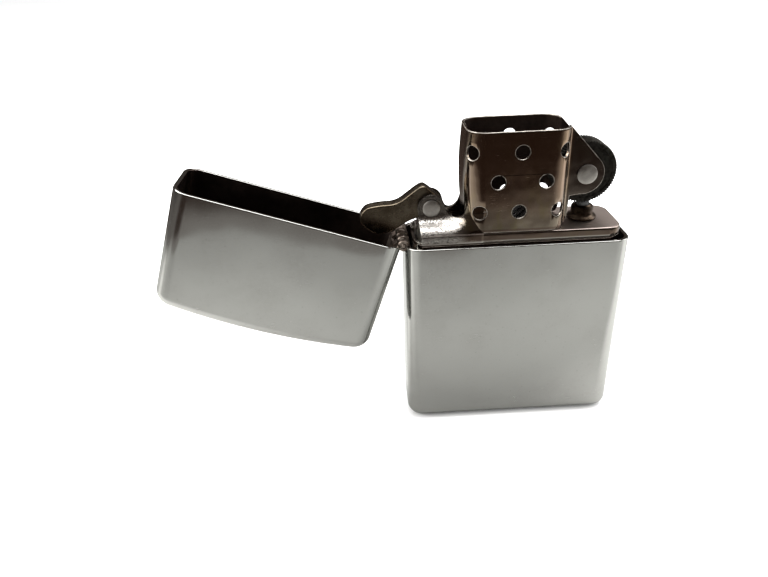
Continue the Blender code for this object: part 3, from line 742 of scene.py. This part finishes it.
def cotton_material(name, pale, dark, scorch_and_shade_from=None):
    """Spun cotton; the wick's darkens towards its top, scorched and with painted shade inside the windscreen.
    """
    material, tree, shader = new_material(name)
    place = millimetres(tree)
    fibre = noise(tree, place, 2.5, 8.0, 0.8, stretch=(3.0, 3.0, 0.8))
    tone = blend_colours(tree, fibre, pale, dark)
    if scorch_and_shade_from is not None:
        parts = put(tree, "ShaderNodeSeparateXYZ")
        wire(tree, place, parts.inputs[0])
        scorch_and_shade = between(tree, parts.outputs["Z"], scorch_and_shade_from, scorch_and_shade_from + 5.0)
        tone = blend_colours(tree, scorch_and_shade, tone, (0.015, 0.012, 0.010))
    wire(tree, tone, shader.inputs["Base Color"])
    shader.inputs["Roughness"].default_value = 0.95
    shader.inputs["Sheen Weight"].default_value = 0.3
    bump(tree, shader, fibre, 0.15, 0.9)
    return material


# ---------------------------------------------------------------- case, lid and hinge

def drawn_cup(half_x, half_y, corner, edge, height, bends=0):
    """A deep-drawn cup, open at the top: rounded uprights, rounded bottom edge, no wall yet."""
    bm = block((-half_x, -half_y, 0.0), (half_x, half_y, height))
    round_edges(bm, upright_edges(bm), corner, 12)
    round_edges(bm, level_edges(bm, 0.0), edge, 8)
    drop_faces(bm, lambda face: face.normal.z > 0.9 and face.calc_center_median().z > height - 0.01)
    if bends:
        reach = half_x - corner
        slice_along(bm, 0, [-reach + 2.0 * reach * k / bends for k in range(1, bends)])
    return bm


def line_inside(bm, half_x, half_y, wall, rim):
    """Give the inner wall and floor the second material."""
    for face in bm.faces:
        middle = face.calc_center_median()
        within = abs(middle.x) < half_x - 0.6 * wall and abs(middle.y) < half_y - 0.6 * wall
        outward = middle.dot(Vector((face.normal.x, face.normal.y, 0.0)))
        if within and middle.z < rim - 0.01 and (outward < 0.0 or (face.normal.z > 0.3 and middle.z > 0.3)):
            face.material_index = 1


def rim_notch(bm, up):
    """Room for the hinge barrel in the wall's rim."""
    low = (HINGE.x - BARREL_R - 0.3, -BARREL_HALF - 0.15, -BARREL_R - 0.15 if up > 0 else -2.0)
    high = (-CASE_HALF_X + WALL + 0.6, BARREL_HALF + 0.15, 2.0 if up > 0 else BARREL_R + 0.15)
    cutter = block(low, high)
    if up > 0:
        bmesh.ops.translate(cutter, vec=(0.0, 0.0, HINGE.z), verts=cutter.verts)
    return carve(bm, cutter)


def make_case(shell, lining):
    bm = thicken(drawn_cup(CASE_HALF_X, CASE_HALF_Y, CORNER, CASE_EDGE, CASE_HEIGHT), WALL, (0, 0, 18))
    line_inside(bm, CASE_HALF_X, CASE_HALF_Y, WALL, CASE_HEIGHT)
    round_edges(bm, [edge for edge in level_edges(bm, CASE_HEIGHT) if edge.calc_face_angle() > 1.0], 0.16, 3)
    bm = rim_notch(bm, 1)
    piece("case_shell", bm, "case", ["case_bottom"], [shell, lining])


def lid_matrix():
    """From the lid drawn closed about the hinge axis to the lid at rest."""
    return Matrix.Translation(HINGE) @ Matrix.Rotation(-LID_OPEN, 4, "Y")


def make_lid(shell, lining):
    height = LID_HEIGHT - LID_RIM
    bm = drawn_cup(CASE_HALF_X, CASE_HALF_Y, CORNER, LID_EDGE, height, bends=28)
    for vert in bm.verts:
        if vert.co.z < height / 2.0:
            vert.co.z -= LID_RISE * (1.0 - (vert.co.x / CASE_HALF_X) ** 2)
    bm = thicken(bm, WALL, (0, 0, 10))
    line_inside(bm, CASE_HALF_X, CASE_HALF_Y, WALL, height)
    round_edges(bm, [edge for edge in level_edges(bm, height) if edge.calc_face_angle() > 1.0], 0.16, 3)
    for vert in bm.verts:
        vert.co = Vector((vert.co.x - HINGE.x, vert.co.y, LID_HEIGHT - vert.co.z))
    bmesh.ops.reverse_faces(bm, faces=bm.faces)
    notch = block((-BARREL_R - 0.3, -BARREL_HALF - 0.15, -1.0),
                  (-HINGE.x - CASE_HALF_X + WALL + 0.6, BARREL_HALF + 0.15, BARREL_R + 0.15))
    bm = carve(bm, notch)
    bmesh.ops.transform(bm, matrix=lid_matrix(), verts=bm.verts)
    piece("lid", bm, "lid", ["lid_shell"], [shell, lining])


def hinge_leaf(own, up):
    """Plate, bent straps and rolled knuckles of one leaf, drawn about the hinge axis."""
    near, far, length, half = 1.02, 1.37, 7.2, 3.7
    pitch = 2.0 * BARREL_HALF / 5
    leaf = block((near, -half, min(1.3 * up, up * length)), (far, half, max(1.3 * up, up * length)))
    strap = [(near, 1.6), (far, 1.6), (far, 1.05), (0.7, 0.15), (0.35, 0.45), (near, 1.25)]
    parts = []
    for index in own:
        low = -BARREL_HALF + pitch * index + 0.05
        high = low + pitch - 0.1
        soft = 0.12
        ring = [(0.52, low), (BARREL_R - soft, low), (BARREL_R, low + soft), (BARREL_R, high - soft),
                (BARREL_R - soft, high), (0.52, high)]
        parts.append(slab([(x, up * z) for x, z in strap], max(low, -half), min(high, half)))
        parts.append(turned(ring, 40, "y"))
    return carve(leaf, *parts, operation="UNION")


def make_hinge(metal):
    lower = hinge_leaf([0, 2, 4], -1)
    bmesh.ops.translate(lower, vec=HINGE, verts=lower.verts)
    piece("case_leaf", lower, "case", ["hinge_leaf_lower"], [metal])
    upper = hinge_leaf([1, 3], 1)
    bmesh.ops.transform(upper, matrix=lid_matrix(), verts=upper.verts)
    piece("lid_leaf", upper, "lid", ["hinge_leaf_upper"], [metal])
    end = BARREL_HALF
    pin = [(0.0, -end), (0.3, -end), (0.45, -end + 0.12), (0.45, end - 0.12), (0.3, end), (0.0, end)]
    piece("barrel_pin", turned(pin, 32, "y", HINGE), "case", ["hinge_pin"], [metal])


# ---------------------------------------------------------------- insert

def make_tank(metal):
    bm = block(TANK_LOW, TANK_HIGH)
    round_edges(bm, upright_edges(bm), 2.4, 10)
    drop_faces(bm, lambda face: abs(face.normal.z) > 0.9)
    bm = thicken(bm, SHEET, (0, 0, 18))
    bm = carve(bm, rod(0.6, -1.0, 1.0, "x", (TANK_LOW.x, 0.0, 26.0)))
    blunt(bm, 0.08)
    piece("tank", bm, "insert", ["insert_tank"], [metal])


def ear_outline():
    """Front view of the cam housing: a round ear over the pivot, a scoop, then the chimney's foot."""
    ear = arc((CAM.x, CAM.z), 2.3, 187.0, 3.0, 30)
    scoop = smooth_open([ear[-1], (-11.8, 40.45), (-11.4, 39.9), (-10.9, 39.6), (-10.3, 39.5), (-9.6, 39.72),
                         (-9.1, 40.3), (-8.8, 41.1), (-8.6, 42.0)])
    return [(-16.1, 34.0)] + ear + scoop[1:] + [(-5.5, 42.0), (-5.5, 34.0)]


def housing_section(x):
    """Front sheet of the cam housing in section: an ear at one end, the windscreen's corner at the other."""
    ear = [(-5.33, 34.6), (-5.33, 36.6), (-5.22, 37.2), (-4.85, 37.75), (-4.2, 38.2), (-3.4, 38.5),
           (-2.75, 38.8), (-2.3, 39.15), (-2.06, 39.6), (-EAR_Y, 40.2), (-EAR_Y, 44.0)]
    screen = [(-5.33, 34.6), (-5.33, 36.6), (-5.31, 37.3), (-5.24, 37.9), (-5.12, 38.4), (-5.0, 38.9),
              (-4.9, 39.4), (-4.8, 39.9), (-4.7, 40.4), (-4.6, 41.0), (-4.4, 44.0)]
    share = ease((x + 12.4) / 5.6)
    blend = [tuple(Vector(a).lerp(Vector(b), share)) for a, b in zip(ear, screen)]
    return [(x, y, z) for y, z in smooth_open(blend, 3)]


def housing_side(side):
    """One pressed side of the cam housing, cut to its ear and scoop; side is -1 in front, 1 behind."""
    sections = [housing_section(-17.2 + 0.4 * step) for step in range(29)]
    bm = thicken(skin(sections), SHEET, (-11.0, 0.0, 36.0))
    bm = carve(bm, slab(ear_outline(), -7.0, 7.0), operation="INTERSECT")
    if side > 0:
        bmesh.ops.scale(bm, vec=(1.0, -1.0, 1.0), verts=bm.verts)
        bmesh.ops.reverse_faces(bm, faces=bm.faces)
    return bm


def screen_plan():
    """Outer face of the windscreen in plan, from the front cheek round the closed end to the back cheek."""
    half_y = CHIMNEY_HIGH.y
    corner = arc((SCREEN_LEFT, -half_y + SCREEN_CORNER), SCREEN_CORNER, 180.0, 270.0, 14)
    bend = arc((SCREEN_RIGHT, -half_y + SCREEN_BEND), SCREEN_BEND, 270.0, 346.0, 14)
    fold = [(7.82, -2.97), (7.95, -2.85), (8.15, -CHEEK_Y)]
    front = corner + bend + fold + [(15.5, -CHEEK_Y)]
    return front[::-1] + [(x, -y) for x, y in front]


def screen_sheet(low, high, wall=SHEET):
    """Windscreen before it is cut: folded sheet, its closed end bowed a little at mid height."""
    plan = screen_plan()
    levels = 14
    bm = bmesh.new()
    points = [bm.verts.new((x, y, low)) for x, y in plan]
    edges = [bm.edges.new(pair) for pair in zip(points, points[1:])]
    for _ in range(levels):
        grown = bmesh.ops.extrude_edge_only(bm, edges=edges)
        fresh = [item for item in grown["geom"] if isinstance(item, bmesh.types.BMVert)]
        bmesh.ops.translate(bm, vec=(0, 0, (high - low) / levels), verts=fresh)
        edges = [item for item in grown["geom"] if isinstance(item, bmesh.types.BMEdge)
                 and all(vert in fresh for vert in item.verts)]
    for vert in bm.verts:
        height = max(0.0, min(1.0, (vert.co.z - 40.5) / (CHIMNEY_HIGH.z - 40.5)))
        vert.co.x -= SCREEN_BOW * math.sin(math.pi * height) * ease((-4.0 - vert.co.x) / 4.0)
    return thicken(bm, wall, (0.0, 0.0, 46.0))


def screen_outline():
    """Front view of the windscreen: a tall box, then a cheek that tapers to a round nose."""
    nose = arc((10.65, 45.9), 3.4, 43.5, -95.0, 26)
    foot = CHIMNEY_LOW.z
    box = [(-12.0, foot), (-12.0, CHIMNEY_HIGH.z), (7.7, CHIMNEY_HIGH.z)]
    heel = [(8.6, 42.3), (8.45, 38.6), (8.1, 37.8), (7.5, foot)]
    return box + nose + heel


def vent_rods():
    """One short rod square to the wall for each vent, front and back."""
    half_y = CHIMNEY_HIGH.y
    rods = []
    for x, z in VENTS:
        bend = SCREEN_CORNER if x < 0.0 else SCREEN_BEND
        beyond = min(x - SCREEN_LEFT, 0.0) + max(x - SCREEN_RIGHT, 0.0)
        lean = beyond / bend
        y = -half_y + bend * (1.0 - math.sqrt(1.0 - lean ** 2))
        for side in (1.0, -1.0):
            bm = rod(VENT_R, -1.3, 1.3, steps=36)
            aim = Vector((lean, -math.sqrt(1.0 - lean ** 2) * side, 0.0))
            turn = Vector((0, 0, 1)).rotation_difference(aim).to_matrix()
            bmesh.ops.rotate(bm, verts=bm.verts, cent=(0, 0, 0), matrix=turn)
            bmesh.ops.translate(bm, verts=bm.verts, vec=(x, y * side, z))
            rods.append(bm)
    return merged(*rods)


def make_chimney(metal, soot, wear_and_highlight):
    foot, top = CHIMNEY_LOW.z, CHIMNEY_HIGH.z
    bm = screen_sheet(foot - 1.0, top + 1.0)
    bm = carve(bm, slab(screen_outline(), -7.0, 7.0), operation="INTERSECT")
    bm = carve(bm, vent_rods())
    bm = carve(bm, rod(1.0, -4.0, 4.0, "y", WHEEL))
    # Bevels take the edge material: wear with a painted highlight line.
    blunt(bm, 0.12, wear_and_highlight=2, clamp=False)
    for vert in bm.verts:
        vert.co.z = min(vert.co.z, top)
    for face in bm.faces:
        middle = face.calc_center_median()
        inward = middle.x * face.normal.x + middle.y * face.normal.y < 0.0
        if face.material_index == 0 and inward and abs(face.normal.z) < 0.5:
            face.material_index = 1
    piece("windscreen", bm, "insert", ["chimney"], [metal, soot, wear_and_highlight])


def make_deck(metal, wear_and_highlight):
    """Pressed deck: a shallow cap with its openings, with the cam housing drawn up out of it."""
    bottom = DECK_LOW.z
    bm = block((TANK_LOW.x, TANK_LOW.y, bottom), (TANK_HIGH.x, TANK_HIGH.y, DECK_TOP))
    round_edges(bm, upright_edges(bm), 2.4, 12)
    round_edges(bm, level_edges(bm, DECK_TOP), 0.35, 4)
    hollow = block((TANK_LOW.x + SHEET, TANK_LOW.y + SHEET, 34.0),
                   (TANK_HIGH.x - SHEET, TANK_HIGH.y - SHEET, DECK_TOP - SHEET))
    round_edges(hollow, upright_edges(hollow), 2.4 - SHEET, 12)
    under_screen = block((-8.2, -4.3, 35.0), (5.6, 4.3, 38.0))
    cam_well = block((-16.3, -4.4, 35.0), (-10.0, 4.4, 37.7))
    hinge_step = block((-18.5, -6.0, 36.2), (-16.22, 6.0, 38.0))
    hinge_gap = block((-18.5, -1.5, 35.0), (-16.2, 1.5, 38.0))
    tube_hole = rod(1.55, 35.0, 38.0, "z", (TUBE_X, 0.0, 0.0))
    openings = [hollow, under_screen, cam_well, hinge_step, hinge_gap, tube_hole]
    for opening in openings:
        bm = carve(bm, opening)
    for side in (-1.0, 1.0):
        ledge = block((-7.6, 4.45 * side - 0.25, DECK_TOP - 0.3), (6.9, 4.45 * side + 0.25, DECK_TOP + 0.55))
        bm = carve(bm, ledge, operation="UNION")
        bm = carve(bm, housing_side(side), operation="UNION")
    bm = carve(bm, rod(0.85, -4.0, 4.0, "y", CAM))
    # Bevels take the edge material: wear with a painted highlight line.
    blunt(bm, 0.08, wear_and_highlight=1)
    piece("deck_and_ears", bm, "insert", ["insert_deck"], [metal, wear_and_highlight])


def rivet(shaft, head, under):
    """A rivet along y with a low domed head on both ends."""
    dome = [(head * math.cos(a), under + 0.28 + 0.17 * math.sin(a)) for a in
            (math.radians(90.0 * k / 6) for k in range(7))]
    half = [(shaft, under), (head, under)] + dome[:-1] + [(0.0, dome[-1][1])]
    return [(radius, -height) for radius, height in half[::-1]] + half


def make_rivets(metal):
    cam_pin = turned(rivet(0.75, 1.46, EAR_Y + 0.06), 48, "y", CAM)
    piece("cam_pin", cam_pin, "insert", ["cam_rivet"], [metal])
    wheel_pin = turned(rivet(0.9, 1.65, CHEEK_Y + 0.06), 48, "y", WHEEL)
    piece("wheel_pin", wheel_pin, "insert", ["wheel_rivet"], [metal])


def make_cam(metal):
    top = [(-12.0, -1.3), (-11.25, -0.15), (-10.2, 0.3), (-8.4, 0.55), (-6.5, 0.65), (-5.2, 1.1),
           (-3.6, 2.25), (-2.3, 3.2), (-1.35, 3.6), (-0.6, 3.3), (0.5, 2.35), (1.5, 1.4)]
    heel = arc((0.0, 0.0), 2.05, 20.0, -120.0, 6)
    belly = [(-3.0, -2.2), (-4.5, -2.9), (-6.3, -4.0), (-7.8, -4.5), (-9.3, -4.5), (-10.7, -3.7),
             (-11.8, -2.5)]
    bm = slab(smooth_closed(top + heel + belly), -CAM_HALF, CAM_HALF)
    bm = carve(bm, rod(0.85, -2.0, 2.0, "y"))
    bmesh.ops.translate(bm, vec=CAM, verts=bm.verts)
    rim = [edge for edge in sharp_edges(bm, 50.0) if (edge.verts[0].co - CAM).xz.length > 1.2]
    round_edges(bm, rim, 0.28, 4)
    piece("snap_cam", bm, "cam", ["cam"], [metal])


def make_wheel(metal):
    """Spark wheel: fine teeth twisted one way in front and the other way behind, and a plain hub."""
    radius, half, teeth, depth = 5.3, 2.0, 72, 0.3
    layers = 8
    step = math.tau / (teeth * 2)
    twist = 3.0 * step / layers
    face = [(1.0, -half), (2.2, -half), (2.35, -half + 0.15), (4.4, -half + 0.15), (4.55, -half)]
    rim = [(radius, -half + 2.0 * half * layer / layers) for layer in range(layers + 1)]
    bm = turned(face + rim + [(r, -z) for r, z in face[::-1]], teeth * 2)
    for vert in bm.verts:
        if vert.co.xy.length > radius - 0.01:
            layer = round((vert.co.z + half) / (2.0 * half) * layers)
            turn = twist * (layer if layer <= layers / 2 else layers - layer)
            index = round(math.atan2(vert.co.y, vert.co.x) / step)
            if index % 2:
                vert.co.xy *= (radius - depth) / radius
            vert.co.xy = Matrix.Rotation(turn, 2) @ vert.co.xy
    bmesh.ops.rotate(bm, cent=(0, 0, 0), matrix=quarter_turn("X", 1.0), verts=bm.verts)
    bmesh.ops.translate(bm, vec=WHEEL, verts=bm.verts)
    piece("spark_wheel", bm, "wheel", ["flint_wheel"], [metal], crease=25.0)


def make_tube(brass):
    base, top = TUBE_LOW.z, TUBE_HIGH.z
    seat = CHIMNEY_LOW.z
    profile = [(1.2, base), (1.45, base), (1.45, seat), (2.35, seat), (2.45, seat + 0.08),
               (2.45, seat + 0.3), (2.33, seat + 0.45), (2.0, seat + 0.6), (1.88, seat + 0.8),
               (1.85, seat + 1.1), (1.85, top - 0.45), (1.75, top - 0.25), (1.4, top - 0.1), (1.33, top),
               (1.2, top)]
    sleeve = turned(profile, 56, "z", (TUBE_X, 0.0, 0.0))
    piece("flint_sleeve", sleeve, "insert", ["flint_tube"], [brass])


def helix(wire_r, coil_r, low, high, turns, strands=1, sides=10, per_turn=28):
    """Round wires wound about the z axis, each swept by a spin that climbs."""
    wires = []
    for strand in range(strands):
        bm = bmesh.new()
        start = Matrix.Translation((coil_r, 0, low)) @ Matrix.Rotation(math.pi / 2, 4, "X")
        bmesh.ops.create_circle(bm, cap_ends=True, radius=wire_r, segments=sides, matrix=start)
        bmesh.ops.rotate(bm, cent=(0, 0, 0), matrix=Matrix.Rotation(math.tau * strand / strands, 3, "Z"),
                         verts=bm.verts)
        steps = int(per_turn * turns)
        climb = (0, 0, (high - low) / steps)
        bmesh.ops.spin(bm, geom=bm.faces[:], cent=(0, 0, 0), axis=(0, 0, 1), dvec=climb,
                       angle=math.tau * turns, steps=steps)
        bmesh.ops.recalc_face_normals(bm, faces=bm.faces)
        wires.append(bm)
    return merged(*wires)


def make_spring(steel):
    wire_r, coil_r = 0.14, 0.72
    bm = helix(wire_r, coil_r, SPRING_LOW.z + wire_r, SPRING_HIGH.z - wire_r, 16)
    bmesh.ops.translate(bm, vec=(TUBE_X, 0.0, 0.0), verts=bm.verts)
    piece("feed_spring", bm, "spring_carrier", ["flint_spring"], [steel], true_normals=False)


def make_wick(cotton):
    """Round plaited wick: seven twisted yarns about a core, darkening towards the top, scorched and with
    painted shade inside the windscreen.
    """
    centre_x = (WICK_LOW.x + WICK_HIGH.x) / 2.0
    outer = helix(0.42, 1.05, WICK_LOW.z + 0.5, WICK_HIGH.z - 0.5, 5.0, strands=7, per_turn=20)
    core = rod(0.85, WICK_LOW.z + 0.3, WICK_HIGH.z - 0.2, steps=20)
    bm = merged(outer, core)
    bmesh.ops.translate(bm, vec=(centre_x, 0.0, 0.0), verts=bm.verts)
    piece("plaited_wick", bm, "insert", ["wick"], [cotton], true_normals=False)


def rumple(bm, depth, grain):
    """Pull a lump's surface in unevenly, never out past its own block."""
    low = Vector([min(vert.co[k] for vert in bm.verts) for k in range(3)])
    high = Vector([max(vert.co[k] for vert in bm.verts) for k in range(3)])
    middle = (low + high) / 2.0
    for vert in bm.verts:
        share = 0.5 + 0.5 * fractal(vert.co / grain, 0.8, 2.0, 4)
        inward = (middle - vert.co).normalized()
        vert.co += inward * depth * max(0.0, min(1.0, share))


def make_wads(cotton):
    """Balls of wadding, pressed together in the tank and creased where they were folded in."""
    for number in range(1, 5):
        low, high = span("packing_%d" % number)
        bm = block(low, high)
        bmesh.ops.subdivide_edges(bm, edges=bm.edges[:], cuts=24, use_grid_fill=True)
        middle, half = (low + high) / 2.0, (high - low) / 2.0
        for vert in bm.verts:
            away = Vector([(vert.co[k] - middle[k]) / half[k] for k in range(3)])
            roundness = sum(abs(share) ** 5.0 for share in away) ** 0.2
            vert.co = middle + (vert.co - middle) / roundness
        rumple(bm, 0.5, 1.6)
        bmesh.ops.recalc_face_normals(bm, faces=bm.faces)
        item = piece("wadding_%d" % number, bm, "insert", ["packing_%d" % number], [cotton],
                     180.0, False)


def make_felt(felt):
    """Felt pad closing the tank, crowned between its edges, with a hole for the screw."""
    bm = block(FELT_LOW, FELT_HIGH)
    round_edges(bm, upright_edges(bm), 1.7, 6)
    bm = carve(bm, rod(SCREW_HOLE_R, -2.0, 8.0, "z", (TUBE_X, 0.0, 0.0), 40))
    for place in range(-16, 17):
        slice_along(bm, 0, [float(place)])
    slice_along(bm, 1, [-3.4, -2.3, -1.1, 0.0, 1.1, 2.3, 3.4])
    centre = (FELT_LOW.z + FELT_HIGH.z) / 2.0
    for vert in bm.verts:
        edge_x = (FELT_HIGH.x - abs(vert.co.x)) / 1.4
        edge_y = (FELT_HIGH.y - abs(vert.co.y)) / 1.4
        crown = ease(max(0.0, min(1.0, edge_x))) * ease(max(0.0, min(1.0, edge_y)))
        lumps = 0.06 * (0.5 + 0.5 * fractal(vert.co / 2.2, 0.8, 2.0, 3))
        vert.co.z = centre + (vert.co.z - centre) * (0.72 + 0.28 * crown - lumps)
    item = piece("felt_flap", bm, "insert", ["felt_pad"], [felt], 50.0, False)


def plain_nodes(materials):
    """Frame nodes whose shape is already right take a worked material."""
    for name, material in materials.items():
        item = frame["nodes"][name]
        item.data.materials.clear()
        item.data.materials.append(material)


make_camera()
make_stage()

SCRATCHES = make_scratches()
SMUDGES = make_smudges()
SPECKS = make_specks()
SHELL = polished_shell(SCRATCHES, SMUDGES, SPECKS)
LINING = painted_shade_lining(SMUDGES)
INSERT = insert_metal(SCRATCHES, SMUDGES, SPECKS)
SOOT = sooty_metal(SMUDGES)
# Bevel faces on sheet edges: lighter and rougher, edge wear with a painted highlight line along it.
EDGE_WEAR_AND_HIGHLIGHT = dull_metal("edge_wear_and_highlight", (0.22, 0.200, 0.175), (0.55, 0.51, 0.46), 0.40, SPECKS, 1.3, 0.004,
                  pitted=0.3)
HINGE_METAL = dull_metal("hinge_metal", (0.10, 0.07, 0.055), (0.42, 0.36, 0.31), 0.38, SPECKS, 1.6, 0.02)
# Painted dark: the cam's tone stands in for the dark surroundings that its faces reflect.
CAM_METAL = dull_metal("cam_metal", (0.11, 0.088, 0.062), (0.16, 0.135, 0.10), 0.27, SPECKS, 0.5, 0.004,
                       pitted=0.2)
RIVET_METAL = dull_metal("rivet_metal", (0.33, 0.31, 0.29), (0.47, 0.45, 0.42), 0.40, SPECKS, 1.0, 0.006,
                         pitted=0.35)
WHEEL_METAL = dull_metal("wheel_metal", (0.014, 0.013, 0.011), (0.052, 0.049, 0.043), 0.5, SPECKS, 1.5, 0.02)
BRASS = dull_metal("aged_brass", (0.035, 0.026, 0.020), (0.11, 0.08, 0.055), 0.36, SPECKS, 1.0, 0.01)
FLINT = dull_metal("flint", (0.05, 0.05, 0.05), (0.12, 0.12, 0.115), 0.7, SPECKS, 2.0, 0.03, 0.4)
SPRING_STEEL = dull_metal("spring_steel", (0.32, 0.31, 0.30), (0.5, 0.49, 0.47), 0.3, SPECKS, 1.0, 0.004)
WADDING = cotton_material("wadding", (0.72, 0.69, 0.62), (0.86, 0.84, 0.78))
FELT = cotton_material("felt", (0.66, 0.64, 0.58), (0.80, 0.78, 0.72))
# Dark from 17 mm below the wick's top: scorch, and painted shade inside the windscreen.
WICK = cotton_material("wick_cotton", (0.70, 0.66, 0.58), (0.84, 0.81, 0.74), WICK_HIGH.z - 17.0)

make_case(SHELL, LINING)
make_lid(SHELL, LINING)
make_hinge(HINGE_METAL)
make_tank(INSERT)
make_deck(INSERT, EDGE_WEAR_AND_HIGHLIGHT)
make_chimney(INSERT, SOOT, EDGE_WEAR_AND_HIGHLIGHT)
make_rivets(RIVET_METAL)
make_cam(CAM_METAL)
make_wheel(WHEEL_METAL)
make_tube(BRASS)
make_spring(SPRING_STEEL)
make_wick(WICK)
plain_nodes({"cam_spring": SPRING_STEEL, "cam_spring_rivet": RIVET_METAL, "flint": FLINT, "spring_tip": BRASS,
             "flint_screw": BRASS})
make_wads(WADDING)
make_felt(FELT)
